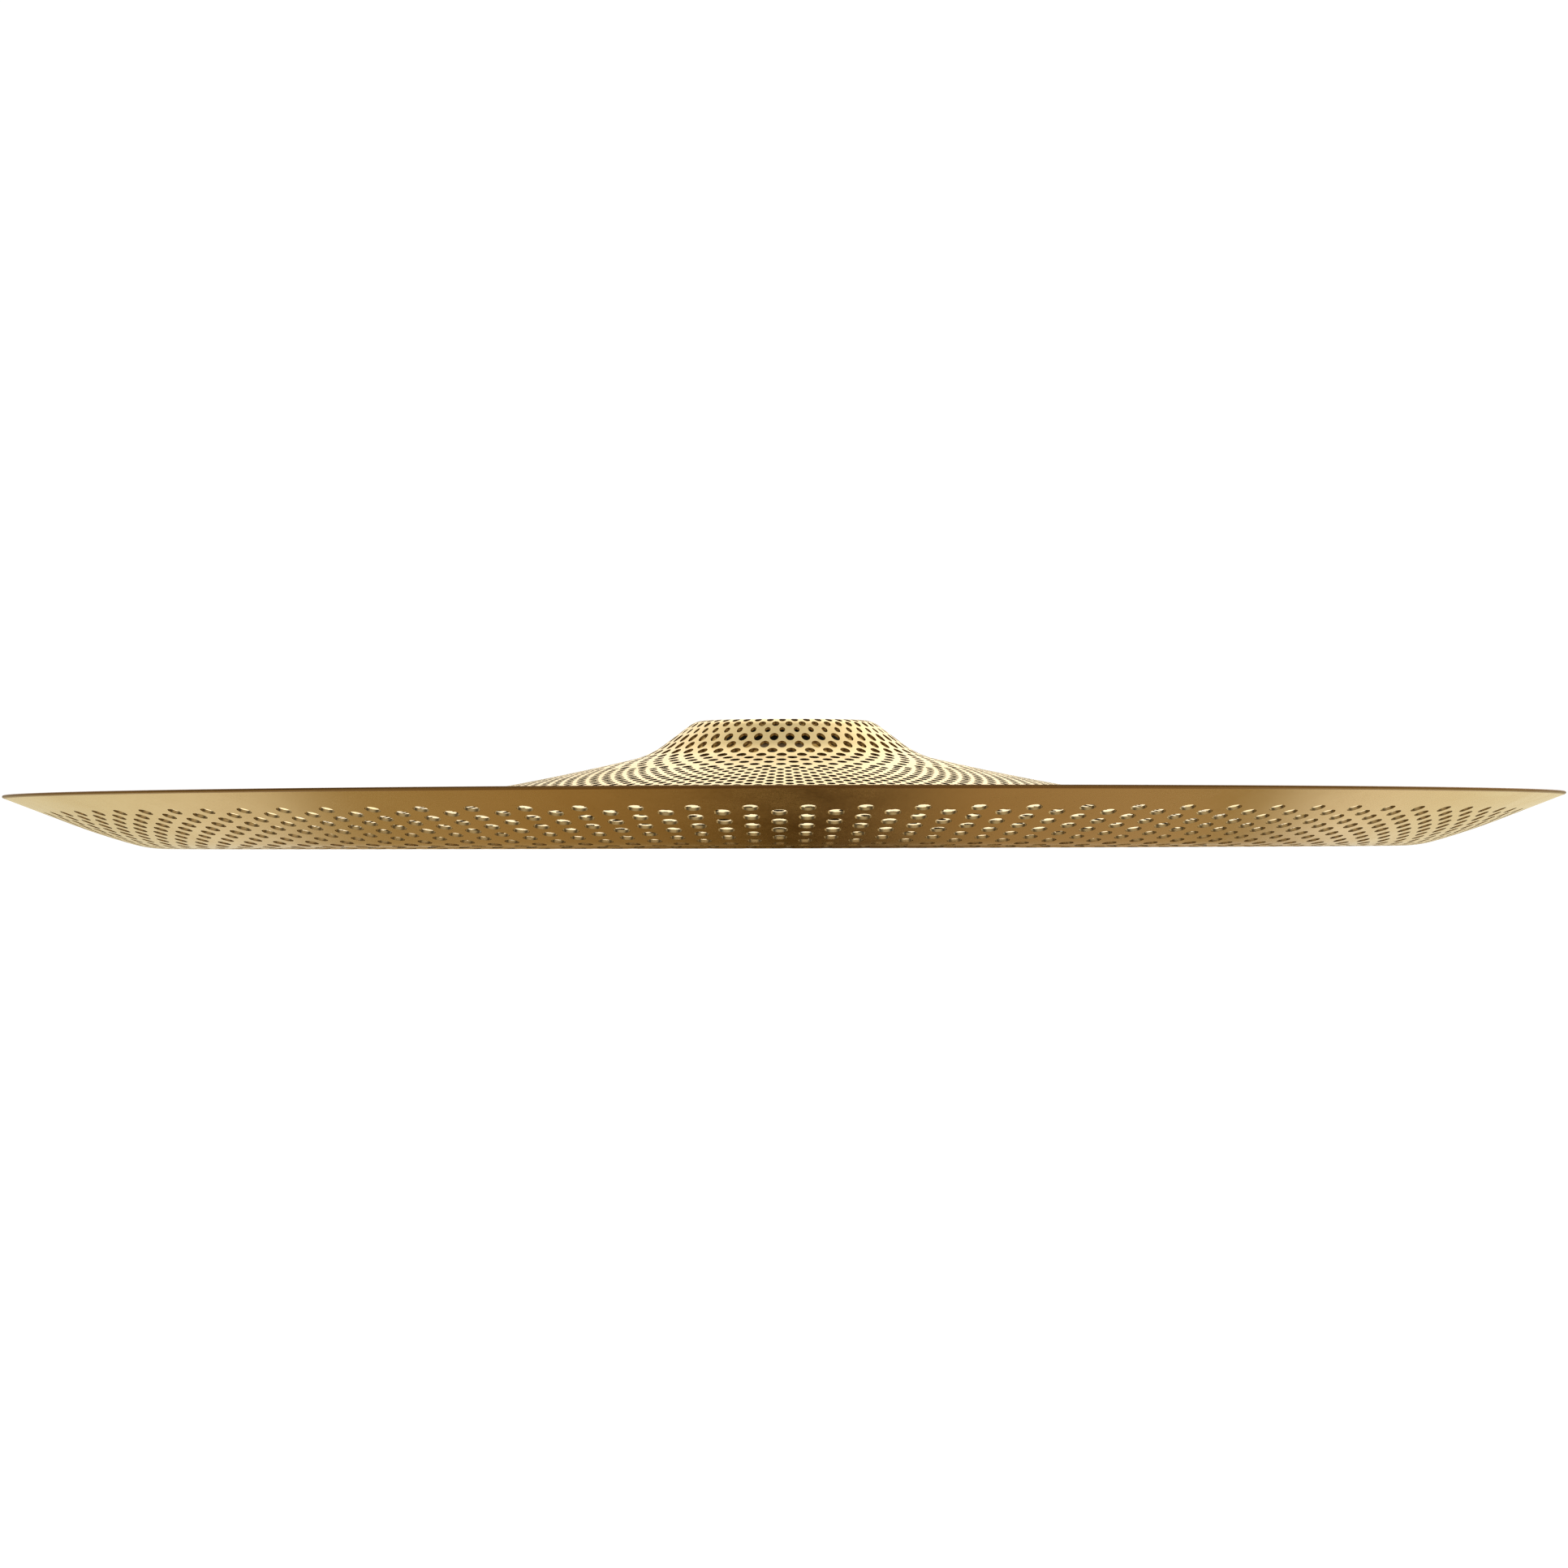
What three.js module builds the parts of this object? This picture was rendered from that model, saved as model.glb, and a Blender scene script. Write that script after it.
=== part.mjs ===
// A china cymbal of spun bronze, resting on its seat: a metal collar, a nylon sleeve and a domed washer.
// Millimetres, +Z up. The origin is on the axis, level with the lowest point of the cymbal.
import * as THREE from 'three';

// Cymbal sheet
const SHEET = 0.85;
const RIM_RADIUS = 228.6;
const CENTRE_HOLE_RADIUS = 6.25;
const TROUGH_RADIUS = 181;
const CYMBAL_SIDES = 64;

// Outside the trough the sheet turns up into the flange
const FOLD_OUTER_BEND = { radius: 34, angle: 15.5, steps: 5 };
const FLANGE_BEND = { radius: 210, angle: 21, steps: 3 };

// Inside the trough it rises along the bow to the flare, the bell's flank, its shoulder and its flat top
const FOLD_INNER_BEND = { radius: 33, angle: 10.2, steps: 3 };
const BOW_INNER_RADIUS = 84;
const BOW_BEND = { radius: 770, angle: 13.2, steps: 3 };
const FLARE_BEND = { radius: 25, angle: 37, steps: 6 };
const FLANK_INNER_RADIUS = 28;
const SHOULDER_BEND = { radius: 8, angle: 0, steps: 4 };

// Seat, from the top down. The height of the bell's inner face follows from the walk along the sheet.
const SMALL_GAP = 0.3;
const ROD_HOLE_RADIUS = 4.1;
const SLEEVE_RADIUS = 5.2;
const SLEEVE_BELOW_BELL_TOP = 0.25;
const SLEEVE_FLANGE_RADIUS = 7.2;
const SLEEVE_FLANGE_HEIGHT = 1.2;
const WASHER_BORE_RADIUS = SLEEVE_RADIUS + SMALL_GAP;
const WASHER_RADIUS = 17;
const WASHER_BOTTOM = 30.8;
const WASHER_EDGE_HEIGHT = 2.2;
const WASHER_EDGE_ROUNDING = 0.6;
const WASHER_CROWN = 4.4;
const WASHER_CROWN_RADIUS = 6.5;
const COLLAR_RADIUS = 7.5;
const COLLAR_HEIGHT = 9;
const COLLAR_CHAMFER = 0.8;
const SEAT_SIDES = 32;

const RADIANS = Math.PI / 180;

// Adds a circular bend to a path of points. The sheet's slope goes from one angle to the other, and the
// path runs outwards (direction 1) or inwards (direction -1). It always climbs where the angle is positive.
function addBend(path, fromAngle, bend, direction) {
  const start = path[path.length - 1];
  const sense = Math.sign(bend.angle - fromAngle);
  for (let step = 1; step <= bend.steps; step += 1) {
    const angle = fromAngle + ((bend.angle - fromAngle) * step) / bend.steps;
    const across = Math.sin(angle * RADIANS) - Math.sin(fromAngle * RADIANS);
    const up = Math.cos(fromAngle * RADIANS) - Math.cos(angle * RADIANS);
    path.push(new THREE.Vector2(
      start.x + direction * sense * bend.radius * across,
      start.y + sense * bend.radius * up,
    ));
  }
}

// Adds one straight point at a given radius, climbing at the angle.
function addStraight(path, angle, toRadius) {
  const start = path[path.length - 1];
  const climb = Math.abs(toRadius - start.x) * Math.tan(angle * RADIANS);
  path.push(new THREE.Vector2(toRadius, start.y + climb));
}

// The upper face of the sheet, from the rim inwards over the trough to the edge of the centre hole.
function upperFace() {
  const outward = [new THREE.Vector2(TROUGH_RADIUS, SHEET)];
  addBend(outward, 0, FOLD_OUTER_BEND, 1);
  addBend(outward, FOLD_OUTER_BEND.angle, FLANGE_BEND, 1);
  addStraight(outward, FLANGE_BEND.angle, RIM_RADIUS);

  const inward = [new THREE.Vector2(TROUGH_RADIUS, SHEET)];
  addBend(inward, 0, FOLD_INNER_BEND, -1);
  addStraight(inward, FOLD_INNER_BEND.angle, BOW_INNER_RADIUS);
  addBend(inward, FOLD_INNER_BEND.angle, BOW_BEND, -1);
  addBend(inward, BOW_BEND.angle, FLARE_BEND, -1);
  addStraight(inward, FLARE_BEND.angle, FLANK_INNER_RADIUS);
  addBend(inward, FLARE_BEND.angle, SHOULDER_BEND, -1);
  addStraight(inward, SHOULDER_BEND.angle, CENTRE_HOLE_RADIUS);

  return [...outward.reverse(), ...inward.slice(1)];
}

// The lower face: each point moved by the sheet's thickness, square to the face.
// The two end edges, at the rim and at the centre hole, stay upright.
function lowerFace(upper) {
  return upper.map((point, index) => {
    const before = upper[Math.max(index - 1, 0)];
    const after = upper[Math.min(index + 1, upper.length - 1)];
    const along = after.clone().sub(before).normalize();
    const isEnd = index === 0 || index === upper.length - 1;
    if (isEnd) {
      return new THREE.Vector2(point.x, point.y - SHEET / Math.abs(along.x));
    }
    return new THREE.Vector2(point.x - SHEET * along.y * Math.sign(along.x), point.y - SHEET * Math.abs(along.x));
  });
}

// A solid of revolution about Z from a closed outline of [radius, height] points.
function turned(name, outline, sides, material) {
  const closed = [...outline, outline[0]];
  const geometry = new THREE.LatheGeometry(closed, sides);
  geometry.rotateX(Math.PI / 2);
  const mesh = new THREE.Mesh(geometry, material);
  mesh.name = name;
  return mesh;
}

function makeCymbal(upper) {
  const bronze = new THREE.MeshStandardMaterial({ color: 0xc9a85c, roughness: 0.38, metalness: 1 });
  const outline = [...upper, ...lowerFace(upper).reverse()];
  return turned('cymbal', outline, CYMBAL_SIDES, bronze);
}

// The washer's flat underside, its upright edge with a rounded corner, and its crown.
function makeWasher() {
  const rubber = new THREE.MeshStandardMaterial({ color: 0x121212, roughness: 0.85, metalness: 0 });
  const edgeTop = WASHER_BOTTOM + WASHER_EDGE_HEIGHT;
  const crownTop = WASHER_BOTTOM + WASHER_CROWN;
  const outline = [
    new THREE.Vector2(WASHER_BORE_RADIUS, WASHER_BOTTOM),
    new THREE.Vector2(WASHER_RADIUS - WASHER_EDGE_ROUNDING, WASHER_BOTTOM),
    new THREE.Vector2(WASHER_RADIUS, WASHER_BOTTOM + WASHER_EDGE_ROUNDING),
    new THREE.Vector2(WASHER_RADIUS, edgeTop - WASHER_EDGE_ROUNDING),
  ];
  const crown = new THREE.QuadraticBezierCurve(
    new THREE.Vector2(WASHER_RADIUS - WASHER_EDGE_ROUNDING, edgeTop),
    new THREE.Vector2((WASHER_RADIUS + WASHER_CROWN_RADIUS) / 2, crownTop - WASHER_EDGE_ROUNDING),
    new THREE.Vector2(WASHER_CROWN_RADIUS, crownTop),
  );
  outline.push(...crown.getPoints(4));
  outline.push(new THREE.Vector2(WASHER_BORE_RADIUS, crownTop));
  return turned('seat_washer', outline, SEAT_SIDES, rubber);
}

// The sleeve carries the washer and centres the cymbal. Its base flange sits on the collar.
function makeSleeve(bellTop) {
  const nylon = new THREE.MeshStandardMaterial({ color: 0x4f3b29, roughness: 0.55, metalness: 0 });
  const flangeTop = WASHER_BOTTOM - SMALL_GAP;
  const flangeBottom = flangeTop - SLEEVE_FLANGE_HEIGHT;
  const sleeveTop = bellTop - SLEEVE_BELOW_BELL_TOP;
  const outline = [
    new THREE.Vector2(ROD_HOLE_RADIUS, flangeBottom),
    new THREE.Vector2(SLEEVE_FLANGE_RADIUS, flangeBottom),
    new THREE.Vector2(SLEEVE_FLANGE_RADIUS, flangeTop),
    new THREE.Vector2(SLEEVE_RADIUS, flangeTop),
    new THREE.Vector2(SLEEVE_RADIUS, sleeveTop),
    new THREE.Vector2(ROD_HOLE_RADIUS, sleeveTop),
  ];
  return turned('seat_sleeve', outline, SEAT_SIDES, nylon);
}

function makeCollar() {
  const steel = new THREE.MeshStandardMaterial({ color: 0x6f655a, roughness: 0.35, metalness: 1 });
  const top = WASHER_BOTTOM - SMALL_GAP - SLEEVE_FLANGE_HEIGHT - SMALL_GAP;
  const bottom = top - COLLAR_HEIGHT;
  const outline = [
    new THREE.Vector2(ROD_HOLE_RADIUS, bottom),
    new THREE.Vector2(COLLAR_RADIUS - COLLAR_CHAMFER, bottom),
    new THREE.Vector2(COLLAR_RADIUS, bottom + COLLAR_CHAMFER),
    new THREE.Vector2(COLLAR_RADIUS, top - COLLAR_CHAMFER),
    new THREE.Vector2(COLLAR_RADIUS - COLLAR_CHAMFER, top),
    new THREE.Vector2(ROD_HOLE_RADIUS, top),
  ];
  return turned('seat_collar', outline, SEAT_SIDES, steel);
}

const upper = upperFace();
const bellTop = upper[upper.length - 1].y;

const group = new THREE.Group();
group.add(makeCymbal(upper));
group.add(makeWasher());
group.add(makeSleeve(bellTop));
group.add(makeCollar());

export default group;
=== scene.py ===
"""A perforated china cymbal on its seat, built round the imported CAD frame. Metres, +Z up.

The cymbal is one sheet of bronze with 69 staggered rings of round holes. Each hole sits in a six-sided
cell of sheet, and the cells of one ring meet those of the next along a zigzag seam, so the whole sheet is
quads.
"""

import math

import bpy
import numpy as np
from mathutils import Matrix, Vector


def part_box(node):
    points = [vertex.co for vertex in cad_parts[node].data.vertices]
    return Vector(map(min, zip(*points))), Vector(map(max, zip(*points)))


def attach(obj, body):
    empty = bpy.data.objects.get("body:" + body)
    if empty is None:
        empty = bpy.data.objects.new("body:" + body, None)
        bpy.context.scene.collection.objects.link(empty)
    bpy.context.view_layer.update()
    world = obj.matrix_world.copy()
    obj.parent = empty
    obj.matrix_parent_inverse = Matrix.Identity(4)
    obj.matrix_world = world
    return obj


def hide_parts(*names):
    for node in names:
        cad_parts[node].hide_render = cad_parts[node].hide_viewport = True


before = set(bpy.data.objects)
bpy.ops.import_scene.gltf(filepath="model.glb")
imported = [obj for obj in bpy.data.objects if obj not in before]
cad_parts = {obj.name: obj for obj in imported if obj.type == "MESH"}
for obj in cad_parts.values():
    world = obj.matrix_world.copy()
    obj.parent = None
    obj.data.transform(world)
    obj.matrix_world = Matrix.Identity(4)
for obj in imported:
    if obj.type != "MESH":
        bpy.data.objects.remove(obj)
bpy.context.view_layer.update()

MM = 0.001
TURN = 2 * math.pi

# ---------------------------------------------------- the sheet in section, as the CAD part walks it
# A touch thinner than the CAD's and lifted a touch, so that it stays inside the CAD's box
SHEET = 0.848 * MM
CLEAR_OF_BOX = 0.001 * MM
CENTRE_HOLE_RADIUS = 6.25 * MM
RIM_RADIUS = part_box("cymbal")[1].x
TROUGH_RADIUS = 181 * MM
SHOULDER_BEND, FLANK_SLOPE, FLANK_INNER_RADIUS = 8 * MM, 37.0, 28 * MM
FLARE_BEND, BOW_INNER_SLOPE = 25 * MM, 13.2
BOW_BEND, BOW_SLOPE, BOW_INNER_RADIUS = 770 * MM, 10.2, 84 * MM
FOLD_INNER_BEND, FOLD_OUTER_BEND, FLANGE_INNER_SLOPE = 33 * MM, 34 * MM, 15.5
FLANGE_BEND, FLANGE_SLOPE = 210 * MM, 21.0

# ---------------------------------------------------- the holes
# The azimuth of the column of holes nearest the camera
CENTRE_COLUMN = math.radians(-90.33)
# The holes of the bell and the bow are turned a little against the flange's, more at the back than in front
FRONT_LEAN, BACK_LEAN = math.radians(-0.55), math.radians(-2.95)
BELL_COUNT, BOW_COUNT = 45, 90
# The first ring of the inner bow, of the outer bow and of the flange, counted from the bell's shoulder
BELL_RINGS, OUTER_BOW_RING, FLANGE_RING = 12, 35, 57
# How far towards the next ring a hole's cell reaches, as a share of the gap between the rings
CELL_REACH = 0.75
# The steps in half the round of the sheet's rounded edges
BEAD_STEPS = 6


def sine(degrees):
    return math.sin(math.radians(degrees))


class Face:
    """The upper face in section, walked outwards: straights and circular bends, found again by arc length."""

    def __init__(self, radius):
        self.stretches = []
        self.length = 0.0
        self.lift = 0.0
        self.radius, self.height, self.slope = radius, 0.0, 0.0

    def _add(self, length, bend):
        self.stretches.append((self.length, self.radius, self.height, self.slope, bend))
        self.length += length
        self.radius, self.height, self.slope = (float(x) for x in self._point(length, self.stretches[-1]))

    @staticmethod
    def _point(t, stretch):
        _, radius, height, slope, bend = stretch
        if bend == 0:
            return radius + t * math.cos(slope), height + t * math.sin(slope), slope + 0 * t
        turned = slope + bend * t
        across = (np.sin(turned) - math.sin(slope)) / bend
        up = (math.cos(slope) - np.cos(turned)) / bend
        return radius + across, height + up, turned

    def run_to(self, radius):
        self._add((radius - self.radius) / math.cos(self.slope), 0.0)

    def bend_to(self, degrees, bend_radius):
        change = math.radians(degrees) - self.slope
        self._add(bend_radius * abs(change), math.copysign(1 / bend_radius, change))

    def at(self, s):
        """Radius, height and slope at the arc lengths s."""
        s = np.asarray(s, float)
        out = np.zeros((3,) + s.shape)
        for stretch in self.stretches:
            here = s >= stretch[0]
            out[:, here] = self._point(s[here] - stretch[0], stretch)
        out[1] += self.lift
        return out

    def s_at_radius(self, radius):
        """The arc length where the face is this far from the axis."""
        low, high = 0.0, self.length
        for _ in range(50):
            middle = (low + high) / 2
            if self.at(np.array([middle]))[0][0] < radius:
                low = middle
            else:
                high = middle
        return low


def sheet_face():
    """From the start of the centre hole's rounded edge to the start of the rim's."""
    flare_outer = BOW_INNER_RADIUS - BOW_BEND * (sine(BOW_INNER_SLOPE) - sine(BOW_SLOPE))
    flare_inner = flare_outer - FLARE_BEND * (sine(FLANK_SLOPE) - sine(BOW_INNER_SLOPE))
    face = Face(CENTRE_HOLE_RADIUS + SHEET / 2)
    face.run_to(FLANK_INNER_RADIUS - SHOULDER_BEND * sine(FLANK_SLOPE))
    face.bend_to(-FLANK_SLOPE, SHOULDER_BEND)
    face.run_to(flare_inner)
    face.bend_to(-BOW_INNER_SLOPE, FLARE_BEND)
    face.bend_to(-BOW_SLOPE, BOW_BEND)
    face.run_to(TROUGH_RADIUS - FOLD_INNER_BEND * sine(BOW_SLOPE))
    face.bend_to(0.0, FOLD_INNER_BEND)
    face.lift = SHEET + CLEAR_OF_BOX - face.height
    face.bend_to(FLANGE_INNER_SLOPE, FOLD_OUTER_BEND)
    face.bend_to(FLANGE_SLOPE, FLANGE_BEND)
    face.run_to(RIM_RADIUS - SHEET / 2 * (1 + sine(FLANGE_SLOPE)))
    return face


def hole_rings():
    """Every ring's (radius, half a hole's width, half its length up the slope), from the bell outwards.
    Spinning the bell has stretched its holes."""
    bow_steps = 35
    first_gap, last_gap = 2.45, 3.1
    growth = (last_gap - first_gap) / (2 * bow_steps)
    bow = range(1, bow_steps)
    stretches = [
        ([25.4 + 2.4 * i for i in range(3)], [1.03, 1.05, 0.85]),
        ([33.0 + 3.03 * i for i in range(9)], [1.3, 1.35] + [1.5] * 7),
        ([59.5 + 2.45 * i for i in range(11)], [1.05] * 5 + [1.25] * 6),
        ([84 + first_gap * i + growth * i * i for i in bow], [1.25 + 0.57 * i / bow_steps for i in bow]),
        ([181 + 3.1 * i for i in range(12)], [2.05] * 6 + [2.3] * 6),
    ]
    radii = [radius for radii_here, _ in stretches for radius in radii_here]
    widths = [width for _, widths_here in stretches for width in widths_here]
    lengthening = [1.3, 1.2, 1.5, 1.42, 1.33, 1.05] + [1.0] * 6
    lengthening += [
        float(np.interp(radius, (84, 120, 178, 181), (1.3, 1.0, 1.0, 0.9))) for radius in radii[BELL_RINGS:]
    ]
    return [(r * MM, w * MM, w * MM * k) for r, w, k in zip(radii, widths, lengthening)]


class Skin:
    """A stretch of the sheet: points on its upper face, each with its mate on the lower face, and quads."""

    def __init__(self, face):
        self.face = face
        self.s, self.azimuth = [], []
        self.count = 0
        self.upper, self.walls, self.wall_normals = [], [], []
        self.beads = []

    def points(self, s, azimuth):
        """Adds points and returns their numbers."""
        s, azimuth = np.broadcast_arrays(np.asarray(s, float), np.asarray(azimuth, float))
        numbers = self.count + np.arange(s.size).reshape(s.shape)
        self.s.append(s.ravel())
        self.azimuth.append(azimuth.ravel())
        self.count += s.size
        return numbers

    def hole(self, ring_s, azimuths, half_size, loops):
        """Joins each cell's edge loop, given anticlockwise with azimuth to the right, to an oval hole."""
        around, inner_steps, outer_steps = loops
        angles = np.concatenate([
            [0.0],
            math.pi * np.arange(1, outer_steps + 2) / (outer_steps + 2),
            [math.pi],
            math.pi + math.pi * np.arange(1, inner_steps + 2) / (inner_steps + 2),
        ])
        width, length = half_size
        s = ring_s + length * np.sin(angles)
        across = width * np.cos(angles) / self.face.at(s)[0]
        edge = self.points(s[None, :], azimuths[:, None] + across[None, :])
        next_edge, next_around = np.roll(edge, -1, 1), np.roll(around, -1, 1)
        self.upper.append(np.stack([edge, next_edge, next_around, around], -1).reshape(-1, 4))
        self.walls.append(np.stack([next_edge, edge], -1).reshape(-1, 2))
        inward = np.stack([-np.cos(angles) / width, -np.sin(angles) / length], -1)
        inward /= np.linalg.norm(inward, axis=-1, keepdims=True)
        inward = np.broadcast_to(inward[None], edge.shape + (2,))
        self.wall_normals.append(np.stack([np.roll(inward, -1, 1), inward], -2).reshape(-1, 2, 2))

    def band(self, inner, outer):
        """Plain quads between two rows with the same number of points."""
        self.upper.append(np.stack([inner, outer, np.roll(outer, -1), np.roll(inner, -1)], -1))

    def cut(self, row, outward):
        """Closes the sheet along a row where the next stretch begins."""
        following = np.roll(row, -1)
        pair = [following, row] if outward else [row, following]
        self.walls.append(np.stack(pair, -1))
        side = 1.0 if outward else -1.0
        self.wall_normals.append(np.broadcast_to(np.array([0.0, side]), (len(row), 2, 2)))

    def bead(self, row, outward):
        """Rounds the sheet's own edge along a row."""
        self.beads.append((row, outward))

    def mesh(self, name):
        """The closed mesh, with each corner's normal taken from the true surface."""
        s, azimuth = np.concatenate(self.s), np.concatenate(self.azimuth)
        radius, height, slope = self.face.at(s)
        lean = FRONT_LEAN + (BACK_LEAN - FRONT_LEAN) * (1 + np.sin(azimuth)) / 2
        azimuth = azimuth + lean * np.interp(radius, (BOW_INNER_RADIUS, TROUGH_RADIUS), (1.0, 0.0))
        out = np.stack([np.cos(azimuth), np.sin(azimuth), 0 * azimuth], -1)
        along_azimuth = np.stack([-np.sin(azimuth), np.cos(azimuth), 0 * azimuth], -1)
        up = np.array([0.0, 0.0, 1.0])
        normal = up * np.cos(slope)[:, None] - out * np.sin(slope)[:, None]
        along_s = out * np.cos(slope)[:, None] + up * np.sin(slope)[:, None]
        top = out * radius[:, None] + up * height[:, None]
        vertices = [top, top - SHEET * normal]
        n = self.count

        upper = np.concatenate(self.upper)
        lower = upper[:, ::-1]
        walls = np.concatenate(self.walls)
        flat = np.concatenate(self.wall_normals)
        wall_quads = np.stack([walls[:, 0], walls[:, 1], walls[:, 1] + n, walls[:, 0] + n], -1)
        wall_normal = flat[..., :1] * along_azimuth[walls] + flat[..., 1:] * along_s[walls]
        faces = [upper, lower + n, wall_quads]
        normals = [normal[upper], -normal[lower], wall_normal[:, [0, 1, 1, 0]]]

        total = 2 * n
        for row, outward in self.beads:
            side = 1.0 if outward else -1.0
            rows, row_normals = [row], [normal[row]]
            for step in range(1, BEAD_STEPS):
                turn = math.pi * step / BEAD_STEPS
                direction = math.cos(turn) * normal[row] + side * math.sin(turn) * along_s[row]
                rows.append(total + np.arange(len(row)))
                row_normals.append(direction)
                vertices.append(top[row] - SHEET / 2 * normal[row] + SHEET / 2 * direction)
                total += len(row)
            rows.append(row + n)
            row_normals.append(-normal[row])
            for i in range(BEAD_STEPS):
                a, b = rows[i], rows[i + 1]
                na, nb = row_normals[i], row_normals[i + 1]
                quad = [np.roll(a, -1), a, b, np.roll(b, -1)]
                corner = [np.roll(na, -1, 0), na, nb, np.roll(nb, -1, 0)]
                if not outward:
                    quad, corner = quad[::-1], corner[::-1]
                faces.append(np.stack(quad, -1))
                normals.append(np.stack(corner, 1))

        mesh = bpy.data.meshes.new(name)
        mesh.from_pydata(np.concatenate(vertices).tolist(), [], np.concatenate(faces).tolist())
        mesh.polygons.foreach_set("use_smooth", np.ones(len(mesh.polygons), bool))
        mesh.normals_split_custom_set(np.concatenate(normals).reshape(-1, 3).tolist())
        mesh.update()
        return mesh


def ring_count(index):
    return BELL_COUNT if index < BELL_RINGS else BOW_COUNT


def ring_offset(index):
    """How far a ring's first hole is from the centre column, in pitches. Rings are staggered by half."""
    return 0.5 if (index % 2 == 1) == (index < BELL_RINGS) else 0.0


def seam(ring_s, index, samples):
    """The seam between ring index - 1 and ring index: its arc lengths at equal steps of azimuth.
    It runs clear of each hole, CELL_REACH of the way to the next ring, and back between the holes."""
    azimuth = TURN * np.arange(samples) / samples
    if index == 0:
        return np.full(samples, ring_s[0] - CELL_REACH * (ring_s[1] - ring_s[0])), azimuth
    if index == len(ring_s):
        return np.full(samples, ring_s[-1] + CELL_REACH * (ring_s[-1] - ring_s[-2])), azimuth
    inner_count, outer_count = ring_count(index - 1), ring_count(index)
    pitches = np.arange(samples) * inner_count / samples - ring_offset(index - 1)
    to_hole = np.abs(pitches - np.round(pitches)) * 2
    swing = 1 - to_hole * (2 if inner_count == outer_count else 1)
    share = 0.5 + (CELL_REACH - 0.5) * swing
    gap = ring_s[index] - ring_s[index - 1]
    return ring_s[index - 1] + share * gap, azimuth


def make_zone(name, face, rings, ring_s, first, last, steps, transition_steps=None):
    """The stretch of sheet from ring first to the ring before last. steps is how many parts a hole's share
    of a seam has, and transition_steps the same for the last seam, where the next zone has more holes.
    At either end the sheet goes on to its own edge, or is closed where the next zone begins."""
    skin = Skin(face)
    samples = steps * ring_count(first)
    inner_s, azimuth = seam(ring_s, first, samples)
    inner = skin.points(inner_s, CENTRE_COLUMN + azimuth)
    if first == 0:
        row = skin.points(0.0, CENTRE_COLUMN + azimuth)
        rows = [row]
        for share in (0.35, 0.7):
            rows.append(skin.points(share * inner_s, CENTRE_COLUMN + azimuth))
        rows.append(inner)
        for a, b in zip(rows, rows[1:]):
            skin.band(a, b)
        skin.bead(row, outward=False)
    else:
        skin.cut(inner, outward=False)

    inner_samples = samples
    for index in range(first, last):
        count = ring_count(index)
        outer_samples = steps * count
        if index == last - 1 and transition_steps:
            outer_samples = transition_steps * count
        outer_s, azimuth = seam(ring_s, index + 1, outer_samples)
        outer = skin.points(outer_s, CENTRE_COLUMN + azimuth)
        offset = ring_offset(index)
        hole = np.arange(count)
        inner_steps, outer_steps = inner_samples // count, outer_samples // count
        inner_first = np.round((hole + offset - 0.5) * inner_steps).astype(int)
        outer_first = np.round((hole + offset - 0.5) * outer_steps).astype(int)
        right_azimuth = CENTRE_COLUMN + TURN * (hole + offset + 0.5) / count
        right_inner = inner_s[(inner_first + inner_steps) % inner_samples]
        right_outer = outer_s[(outer_first + outer_steps) % outer_samples]
        right = skin.points((right_inner + right_outer) / 2, right_azimuth)
        inner_part = (inner_first[:, None] + np.arange(inner_steps + 1)) % inner_samples
        outer_part = (outer_first[:, None] + np.arange(outer_steps, -1, -1)) % outer_samples
        around = np.concatenate(
            [right[:, None], outer[outer_part], np.roll(right, 1)[:, None], inner[inner_part]], 1
        )
        hole_azimuth = CENTRE_COLUMN + TURN * (hole + offset) / count
        skin.hole(ring_s[index], hole_azimuth, rings[index][1:], (around, inner_steps, outer_steps))
        inner, inner_s, inner_samples = outer, outer_s, outer_samples

    if last == len(rings):
        rows = [inner]
        for share in (0.3, 0.65, 1.0):
            rows.append(skin.points(inner_s + share * (face.length - inner_s), CENTRE_COLUMN + azimuth))
        for a, b in zip(rows, rows[1:]):
            skin.band(a, b)
        skin.bead(rows[-1], outward=True)
    else:
        skin.cut(inner, outward=True)

    piece = bpy.data.objects.new(name, skin.mesh(name))
    bpy.context.scene.collection.objects.link(piece)
    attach(piece, "cymbal")
    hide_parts("cymbal")
    return piece


def make_cymbal(material):
    face = sheet_face()
    rings = hole_rings()
    ring_s = [face.s_at_radius(ring[0]) for ring in rings]
    zones = [
        make_zone("cymbal_bell", face, rings, ring_s, 0, BELL_RINGS, 6, 8),
        make_zone("cymbal_inner_bow", face, rings, ring_s, BELL_RINGS, OUTER_BOW_RING, 4),
        make_zone("cymbal_outer_bow", face, rings, ring_s, OUTER_BOW_RING, FLANGE_RING, 4),
        make_zone("cymbal_flange", face, rings, ring_s, FLANGE_RING, len(rings), 6),
    ]
    for zone in zones:
        zone.data.materials.append(material)


# ---------------------------------------------------- the seat
SEAT_SIDES = 96
SEAT_SHARP_EDGE = math.radians(35)


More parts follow.
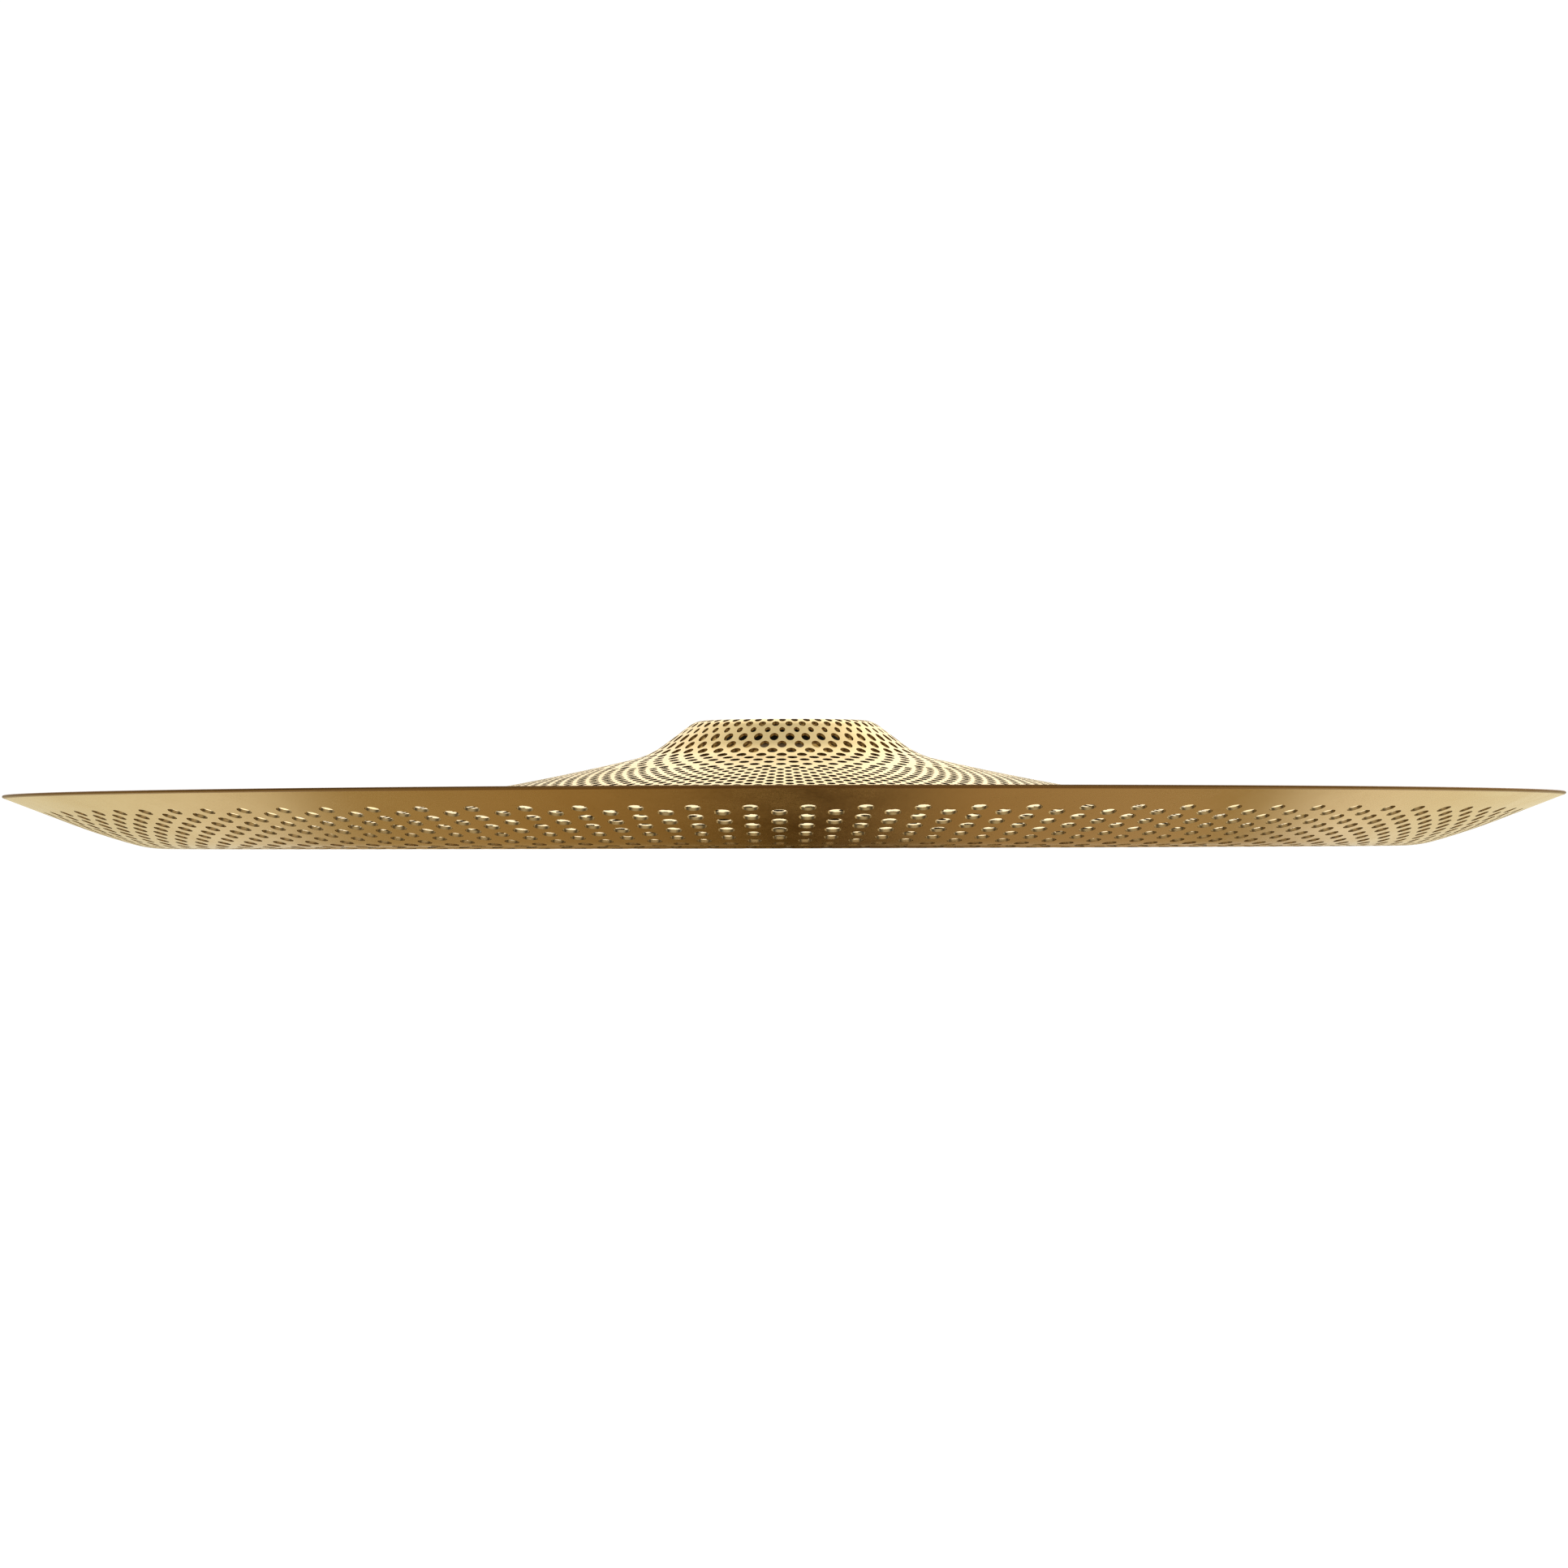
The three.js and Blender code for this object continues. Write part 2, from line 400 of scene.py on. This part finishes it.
def turned_piece(name, outline, body, material, node):
    """A solid of revolution about Z from a closed outline of (radius, height) points, anticlockwise in
    section. It replaces a CAD node."""
    count = len(outline)
    angles = TURN * np.arange(SEAT_SIDES) / SEAT_SIDES
    vertices = [
        (radius * math.cos(a), radius * math.sin(a), height) for a in angles for radius, height in outline
    ]
    faces = []
    for i in range(SEAT_SIDES):
        a, b = i * count, (i + 1) % SEAT_SIDES * count
        for j in range(count):
            k = (j + 1) % count
            faces.append((a + j, b + j, b + k, a + k))
    mesh = bpy.data.meshes.new(name)
    mesh.from_pydata(vertices, [], faces)
    mesh.shade_smooth()
    mesh.set_sharp_from_angle(angle=SEAT_SHARP_EDGE)
    mesh.materials.append(material)
    piece = bpy.data.objects.new(name, mesh)
    bpy.context.scene.collection.objects.link(piece)
    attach(piece, body)
    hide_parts(node)


def rounded(corners, steps=5):
    """A closed outline from (radius, height, rounding) corners in millimetres."""
    outline = []
    for i, (x, y, rounding) in enumerate(corners):
        here = np.array([x, y])
        if rounding == 0:
            outline.append(here)
            continue
        back = np.array(corners[i - 1][:2]) - here
        ahead = np.array(corners[(i + 1) % len(corners)][:2]) - here
        start = here + back / np.linalg.norm(back) * rounding
        end = here + ahead / np.linalg.norm(ahead) * rounding
        for t in np.linspace(0, 1, steps):
            outline.append((1 - t) ** 2 * start + 2 * t * (1 - t) * here + t * t * end)
    return [(float(x) * MM, float(y) * MM) for x, y in outline]


def make_seat(rubber, nylon, steel):
    def heights(node):
        low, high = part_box(node)
        return low.z / MM, high.z / MM, high.x / MM

    bottom, top, radius = heights("seat_washer")
    turned_piece("seat_washer_moulded", rounded([
        (5.6, bottom, 0.3), (9.5, bottom, 0.2), (10.1, bottom + 0.5, 0.2), (13.6, bottom + 0.5, 0.2),
        (14.2, bottom, 0.2), (radius, bottom, 0.7), (radius, bottom + 2.0, 1.0), (14.6, bottom + 2.65, 1.4),
        (11.2, top - 0.75, 1.6), (8.0, top - 0.1, 1.2), (6.3, top, 0.3), (5.6, top, 0.25),
    ]), "seat_pad", rubber, "seat_washer")

    bottom, top, radius = heights("seat_sleeve")
    turned_piece("seat_sleeve_moulded", rounded([
        (4.15, bottom, 0.2), (radius, bottom, 0.3), (radius, bottom + 1.2, 0.3), (5.15, bottom + 1.2, 0.25),
        (5.15, top, 0.45), (4.15, top, 0.35),
    ]), "seat_post", nylon, "seat_sleeve")

    bottom, top, radius = heights("seat_collar")
    turned_piece("seat_collar_turned", rounded([
        (4.15, bottom, 0.2), (radius - 0.8, bottom, 0.15), (radius, bottom + 0.8, 0.15),
        (radius, bottom + 3.0, 0.12), (radius - 0.35, bottom + 3.3, 0.1), (radius - 0.35, bottom + 4.1, 0.1),
        (radius, bottom + 4.4, 0.12), (radius, top - 0.8, 0.15), (radius - 0.8, top, 0.15), (4.15, top, 0.2),
    ]), "seat_post", steel, "seat_collar")


# ---------------------------------------------------- materials
class Shading:
    """A material's node tree, with short ways to add nodes. Patterns read the object's own coordinates."""

    def __init__(self, name, **uniform):
        self.material = bpy.data.materials.new(name)
        self.material.use_nodes = True
        self.tree = self.material.node_tree
        self.shader = self.tree.nodes["Principled BSDF"]
        for socket, value in uniform.items():
            self.shader.inputs[socket.replace("_", " ")].default_value = value
        self.place = self.node("ShaderNodeTexCoord").outputs["Object"]

    def node(self, kind, **settings):
        node = self.tree.nodes.new(kind)
        for name, value in settings.items():
            setattr(node, name, value)
        return node

    def feed(self, socket, value):
        if isinstance(value, bpy.types.NodeSocket):
            self.tree.links.new(value, socket)
        else:
            socket.default_value = value

    def maths(self, operation, a, b=0.0, clamp=False):
        node = self.node("ShaderNodeMath", operation=operation, use_clamp=clamp)
        self.feed(node.inputs[0], a)
        self.feed(node.inputs[1], b)
        return node.outputs[0]

    def radius(self):
        """How far the point is from the axis, in metres."""
        flat = self.node("ShaderNodeVectorMath", operation="MULTIPLY")
        self.feed(flat.inputs[0], self.place)
        self.feed(flat.inputs[1], (1, 1, 0))
        node = self.node("ShaderNodeVectorMath", operation="LENGTH")
        self.feed(node.inputs[0], flat.outputs[0])
        return node.outputs["Value"]

    def facing_up(self):
        """The Z of the object's own normal: 1 on the upper face, -1 on the lower."""
        node = self.node("ShaderNodeSeparateXYZ")
        self.feed(node.inputs[0], self.place.node.outputs["Normal"])
        return node.outputs["Z"]

    def noise(self, scale, detail=2.0, roughness=0.5, distortion=0.0):
        node = self.node("ShaderNodeTexNoise")
        self.feed(node.inputs["Vector"], self.place)
        self.feed(node.inputs["Scale"], scale)
        self.feed(node.inputs["Detail"], detail)
        self.feed(node.inputs["Roughness"], roughness)
        self.feed(node.inputs["Distortion"], distortion)
        return node.outputs["Fac"]

    def turned_noise(self, scale, detail=3.0):
        """Fine rings round the axis, as turning leaves them."""
        node = self.node("ShaderNodeTexNoise", noise_dimensions="1D")
        self.feed(node.inputs["W"], self.radius())
        self.feed(node.inputs["Scale"], scale)
        self.feed(node.inputs["Detail"], detail)
        return node.outputs["Fac"]

    def specks(self, scale, size):
        """Small round spots, 1 inside and 0 outside."""
        node = self.node("ShaderNodeTexVoronoi")
        self.feed(node.inputs["Vector"], self.place)
        self.feed(node.inputs["Scale"], scale)
        return self.between(node.outputs["Distance"], size, 0.6 * size, 0.0, 1.0)

    def between(self, value, low, high, to_low, to_high):
        node = self.node("ShaderNodeMapRange")
        for socket, number in zip(node.inputs, (value, low, high, to_low, to_high)):
            self.feed(socket, number)
        return node.outputs[0]

    def blend(self, share, a, b):
        node = self.node("ShaderNodeMix", data_type="RGBA")
        self.feed(node.inputs["Factor"], share)
        self.feed(node.inputs["A"], a)
        self.feed(node.inputs["B"], b)
        return node.outputs["Result"]

    def bumps(self, *layers):
        """Each layer is (height from 0 to 1, how many metres 1 stands up, strength)."""
        normal = None
        for height, distance, strength in layers:
            node = self.node("ShaderNodeBump")
            self.feed(node.inputs["Height"], height)
            self.feed(node.inputs["Distance"], distance)
            self.feed(node.inputs["Strength"], strength)
            if normal:
                self.feed(node.inputs["Normal"], normal)
            normal = node.outputs["Normal"]
        self.feed(self.shader.inputs["Normal"], normal)

    def colour(self, value):
        self.feed(self.shader.inputs["Base Color"], value)

    def roughness(self, value):
        self.feed(self.shader.inputs["Roughness"], value)


def bronze_material():
    """Blasted and lacquered bronze, mottled, with a fine grain, turning rings and specks. Painted light and
    shade make the upper face and the bell's inside pale gold and the rest of the lower face deeper. The walls
    of the holes are painted dark as painted shade, least in the flange, and the rim's edge dark brown as a
    painted reflection."""
    m = Shading("bronze", Metallic=1.0)
    facing_up = m.facing_up()
    radius = m.radius()
    # Painted light and shade: the upper face and the bell's inside are paler gold, the lower face deeper
    above = m.between(facing_up, 0.2, 0.5, 0.0, 1.0)
    above = m.maths("MAXIMUM", above, m.between(radius, 60 * MM, 110 * MM, 1.0, 0.0))
    # Painted shade: the holes' walls are coloured dark, brown in the bell, near black beyond, less in the
    # flange
    painted_wall_shade = m.between(m.maths("ABSOLUTE", facing_up), 0.62, 0.74, 1.0, 0.0)
    painted_wall_shade = m.maths("MULTIPLY", painted_wall_shade, m.between(radius, 168 * MM, 178 * MM, 1.0, 0.3))
    pale = m.blend(above, (0.64, 0.43, 0.18, 1.0), (0.84, 0.66, 0.33, 1.0))
    deep = m.blend(above, (0.56, 0.36, 0.13, 1.0), (0.75, 0.56, 0.25, 1.0))
    # The same painted light and shade in the specular colour: warmer on the lower face
    tint = m.blend(above, (1.0, 0.95, 0.8, 1.0), (1.0, 1.0, 1.0, 1.0))
    outside_bell = m.between(radius, 36 * MM, 42 * MM, 0.0, 1.0)
    painted_wall_shade_tint = m.blend(outside_bell, (0.3, 0.2, 0.1, 1.0), (0.12, 0.07, 0.03, 1.0))
    m.feed(m.shader.inputs["Specular Tint"], m.blend(painted_wall_shade, tint, painted_wall_shade_tint))
    mottle = m.between(m.noise(22, 4.0, 0.6, distortion=0.4), 0.35, 0.65, 0.0, 1.0)
    fine = m.between(m.noise(900, 3.0, 0.7), 0.3, 0.7, 0.0, 1.0)
    turned = m.turned_noise(900)
    share = m.maths("ADD", m.maths("MULTIPLY", mottle, 0.55), m.maths("MULTIPLY", fine, 0.3))
    share = m.maths("ADD", share, m.maths("MULTIPLY", turned, 0.15), clamp=True)
    colour = m.blend(share, deep, pale)
    sparse = m.between(m.noise(260, 1.0), 0.56, 0.6, 0.0, 0.65)
    dark_specks = m.maths("MULTIPLY", m.specks(700, 0.16), sparse)
    colour = m.blend(dark_specks, colour, (0.3, 0.17, 0.05, 1.0))
    # Painted reflection: the rim's rounded edge is coloured dark brown, for a dark reflection of the front
    rim = m.between(radius, RIM_RADIUS - 0.9 * MM, RIM_RADIUS - 0.6 * MM, 0.0, 0.9)
    colour = m.blend(rim, colour, (0.24, 0.11, 0.03, 1.0))
    # The holes' painted shade: brown inside the bell, near black outside it
    painted_wall_shade_colour = m.blend(outside_bell, (0.2, 0.11, 0.035, 1.0), (0.03, 0.014, 0.004, 1.0))
    m.colour(m.blend(painted_wall_shade, colour, painted_wall_shade_colour))
    smudge = m.noise(30, 3.0, 0.55, distortion=0.8)
    rough = m.maths("ADD", m.between(smudge, 0.3, 0.7, 0.19, 0.26), m.maths("MULTIPLY", fine, 0.05))
    rough = m.maths("ADD", rough, m.maths("MULTIPLY", above, 0.12))
    m.roughness(m.maths("ADD", rough, m.maths("MULTIPLY", rim, 0.15)))
    m.bumps(
        (m.noise(45, 2.0), 0.15 * MM, 0.25),
        (m.turned_noise(1400), 0.02 * MM, 0.15),
        (m.noise(2600, 2.0, 0.6), 0.04 * MM, 0.35),
    )
    return m.material


def rubber_material():
    m = Shading("black_rubber", Specular_IOR_Level=0.15)
    dust = m.between(m.noise(160, 4.0, 0.65), 0.5, 0.75, 0.0, 0.5)
    m.colour(m.blend(dust, (0.004, 0.004, 0.004, 1.0), (0.02, 0.017, 0.014, 1.0)))
    m.roughness(m.between(m.noise(420, 3.0), 0.3, 0.7, 0.6, 0.85))
    m.bumps((m.noise(1500, 3.0, 0.6), 0.08 * MM, 0.5), (m.turned_noise(900), 0.03 * MM, 0.3))
    return m.material


def nylon_material():
    m = Shading("brown_nylon")
    worn = m.between(m.noise(300, 3.0), 0.45, 0.7, 0.0, 0.6)
    m.colour(m.blend(worn, (0.20, 0.13, 0.08, 1.0), (0.30, 0.21, 0.14, 1.0)))
    m.roughness(m.between(m.noise(600, 2.0), 0.3, 0.7, 0.38, 0.55))
    m.bumps((m.noise(1800, 2.0), 0.03 * MM, 0.3))
    return m.material


def steel_material():
    m = Shading("turned_steel", Metallic=1.0)
    tarnish = m.between(m.noise(250, 4.0, 0.6), 0.4, 0.7, 0.0, 1.0)
    m.colour(m.blend(tarnish, (0.5, 0.47, 0.43, 1.0), (0.3, 0.26, 0.21, 1.0)))
    m.roughness(m.between(m.noise(700, 2.0), 0.3, 0.7, 0.25, 0.42))
    rings = m.node("ShaderNodeTexNoise", noise_dimensions="1D")
    height = m.node("ShaderNodeSeparateXYZ")
    m.feed(height.inputs[0], m.place)
    m.feed(rings.inputs["W"], height.outputs["Z"])
    m.feed(rings.inputs["Scale"], 2500.0)
    m.bumps((rings.outputs["Fac"], 0.02 * MM, 0.4), (m.noise(1500, 2.0), 0.02 * MM, 0.2))
    return m.material


# ---------------------------------------------------- floor, light and camera
FLOOR_HEIGHT = -0.45
FLOOR_HALF = 60.0
STUDIO_WHITE = (1.0, 0.99, 0.975, 1.0)
# Painted reflection: the floor's glow in the cymbal; its dark middle stands in for a stand and its shade
# How bright the floor is in the cymbal's reflections, from left to right: x, red, green and blue
FLOOR_GLOW = [
    (-0.500, 0.85, 0.87, 0.72), (-0.370, 0.98, 1.00, 0.96), (-0.320, 0.74, 0.72, 0.63),
    (-0.280, 0.39, 0.31, 0.14), (-0.240, 0.42, 0.32, 0.16), (-0.195, 0.43, 0.335, 0.195),
    (-0.150, 0.39, 0.28, 0.13), (-0.070, 0.29, 0.205, 0.095), (-0.030, 0.10, 0.055, 0.005),
    (0.010, 0.00, 0.00, 0.00), (0.035, 0.03, 0.005, 0.00), (0.070, 0.18, 0.135, 0.075),
    (0.110, 0.41, 0.30, 0.17), (0.195, 0.46, 0.36, 0.24), (0.240, 0.52, 0.41, 0.28),
    (0.280, 0.31, 0.22, 0.06), (0.320, 0.54, 0.49, 0.35), (0.355, 1.00, 1.00, 1.00),
    (0.500, 0.97, 1.00, 0.85),
]
# How bright it is straight below the bell
UNDER_BELL_GLOW = (0.66, 0.57, 0.42, 1.0)
CAMERA_DISTANCE = 1.808
CAMERA_HEIGHT = -3.8 * MM
# Degrees
CAMERA_PITCH, CAMERA_ROLL, FIELD_OF_VIEW = 0.712, -0.16, 14.56
SENSOR_WIDTH = 36.0


def make_floor():
    """A pale floor for the camera, which glows though it is no lamp, less near the cymbal as a painted
    shadow.
    In the cymbal it shows a painted reflection, a brown strip with pale sides, and its own colour there is
    brown.
    """
    half = FLOOR_HALF
    corners = [(-half, -half), (half, -half), (half, half), (-half, half)]
    mesh = bpy.data.meshes.new("floor")
    mesh.from_pydata([(x, y, FLOOR_HEIGHT) for x, y in corners], [], [(0, 1, 2, 3)])
    floor = bpy.data.objects.new("floor", mesh)
    bpy.context.scene.collection.objects.link(floor)
    m = Shading("pale_floor", Roughness=0.9, Specular_IOR_Level=0.1)
    place = m.node("ShaderNodeSeparateXYZ")
    m.feed(place.inputs[0], m.place)
    glow = m.node("ShaderNodeValToRGB")
    ramp = glow.color_ramp
    left, right = FLOOR_GLOW[0][0], FLOOR_GLOW[-1][0]
    m.feed(glow.inputs["Fac"], m.between(place.outputs["X"], left, right, 0.0, 1.0))
    for x, *_ in FLOOR_GLOW[1:-1]:
        ramp.elements.new((x - left) / (right - left))
    for element, (_, red, green, blue) in zip(ramp.elements, FLOOR_GLOW):
        element.color = (red, green, blue, 1.0)
    under_bell = m.between(m.radius(), 0.11, 0.19, 1.0, 0.0)
    painted_reflection_glow = m.blend(under_bell, glow.outputs["Color"], UNDER_BELL_GLOW)
    # Painted shadow: to the camera the floor glows less near the cymbal
    seen = m.between(m.radius(), 0.2, 1.9, 0.7, 1.0)
    camera_ray = m.node("ShaderNodeLightPath").outputs["Is Camera Ray"]
    pale = m.blend(m.noise(3, 2.0), (0.82, 0.81, 0.79, 1.0), (0.86, 0.85, 0.83, 1.0))
    # Painted shade: to every ray but the camera's, the floor's own colour is dark brown
    m.colour(m.blend(camera_ray, (0.15, 0.08, 0.0, 1.0), pale))
    m.feed(m.shader.inputs["Emission Color"], m.blend(camera_ray, painted_reflection_glow, seen))
    m.feed(m.shader.inputs["Emission Strength"], 1.0)
    mesh.materials.append(m.material)


def make_world():
    """A studio that is bright behind, dim above and fair in front, seen as white by the camera."""
    world = bpy.data.worlds.new("studio")
    bpy.context.scene.world = world
    world.use_nodes = True
    tree = world.node_tree

    def node(kind, inputs=(), **settings):
        made = tree.nodes.new(kind)
        for name, value in settings.items():
            setattr(made, name, value)
        for socket, value in inputs:
            if isinstance(value, bpy.types.NodeSocket):
                tree.links.new(value, made.inputs[socket])
            else:
                made.inputs[socket].default_value = value
        return made.outputs

    def between(value, low, high, to_low, to_high):
        numbers = enumerate((value, low, high, to_low, to_high))
        return node("ShaderNodeMapRange", numbers, interpolation_type="SMOOTHSTEP")[0]

    def maths(operation, a, b):
        return node("ShaderNodeMath", ((0, a), (1, b)), operation=operation)[0]

    way = node("ShaderNodeSeparateXYZ", [(0, node("ShaderNodeTexCoord")["Generated"])])
    back = maths("MULTIPLY", between(way["Y"], -0.1, 0.9, 0.0, 1.0), between(way["Z"], 0.02, 0.35, 0.8, 1.7))
    back = maths("MULTIPLY", back, between(way["X"], -0.7, 0.7, 0.72, 1.22))
    level = maths("ADD", maths("ADD", 0.14, back), between(way["Z"], 0.5, 0.95, 0.0, 0.05))
    front = maths("MULTIPLY", between(way["Y"], -0.3, -0.8, 0.0, 0.7), between(way["Z"], 0.1, 0.4, 0.0, 1.0))
    level = maths("ADD", level, front)
    lit = node("ShaderNodeBackground", [("Color", STUDIO_WHITE), ("Strength", level)])[0]
    seen = node("ShaderNodeBackground", [("Color", (1.0, 1.0, 1.0, 1.0)), ("Strength", 1.05)])[0]
    path = node("ShaderNodeLightPath")
    quiet = node("ShaderNodeBackground", [("Color", STUDIO_WHITE), ("Strength", 0.03)])[0]
    mixed = node("ShaderNodeMixShader", [(0, path["Is Diffuse Ray"]), (1, lit), (2, quiet)])[0]
    mixed = node("ShaderNodeMixShader", [(0, path["Is Camera Ray"]), (1, mixed), (2, seen)])[0]
    tree.links.new(mixed, tree.nodes["World Output"].inputs["Surface"])


def make_light(name, place, size, watts, towards=(0, 0, 0)):
    light = bpy.data.lights.new(name, "AREA")
    light.shape = "RECTANGLE"
    light.size, light.size_y = size
    light.energy = watts
    lamp = bpy.data.objects.new(name, light)
    bpy.context.scene.collection.objects.link(lamp)
    lamp.location = place
    lamp.rotation_mode = "QUATERNION"
    lamp.rotation_quaternion = (Vector(towards) - Vector(place)).to_track_quat("-Z", "Y")


def make_camera():
    data = bpy.data.cameras.new("camera")
    camera = bpy.data.objects.new("camera", data)
    bpy.context.scene.collection.objects.link(camera)
    data.sensor_width = SENSOR_WIDTH
    data.lens = SENSOR_WIDTH / 2 / math.tan(math.radians(FIELD_OF_VIEW / 2))
    tilt = Matrix.Rotation(math.radians(90 + CAMERA_PITCH), 4, "X")
    roll = Matrix.Rotation(math.radians(CAMERA_ROLL), 4, "Z")
    camera.matrix_world = Matrix.Translation((0, -CAMERA_DISTANCE, CAMERA_HEIGHT)) @ tilt @ roll
    bpy.context.scene.camera = camera


make_camera()
make_floor()
make_world()
make_light("top_softbox", (0.0, 0.0, 1.3), (1.1, 1.1), 0.3)
make_cymbal(bronze_material())
make_seat(rubber_material(), nylon_material(), steel_material())
bpy.context.scene.view_settings.view_transform = "Standard"
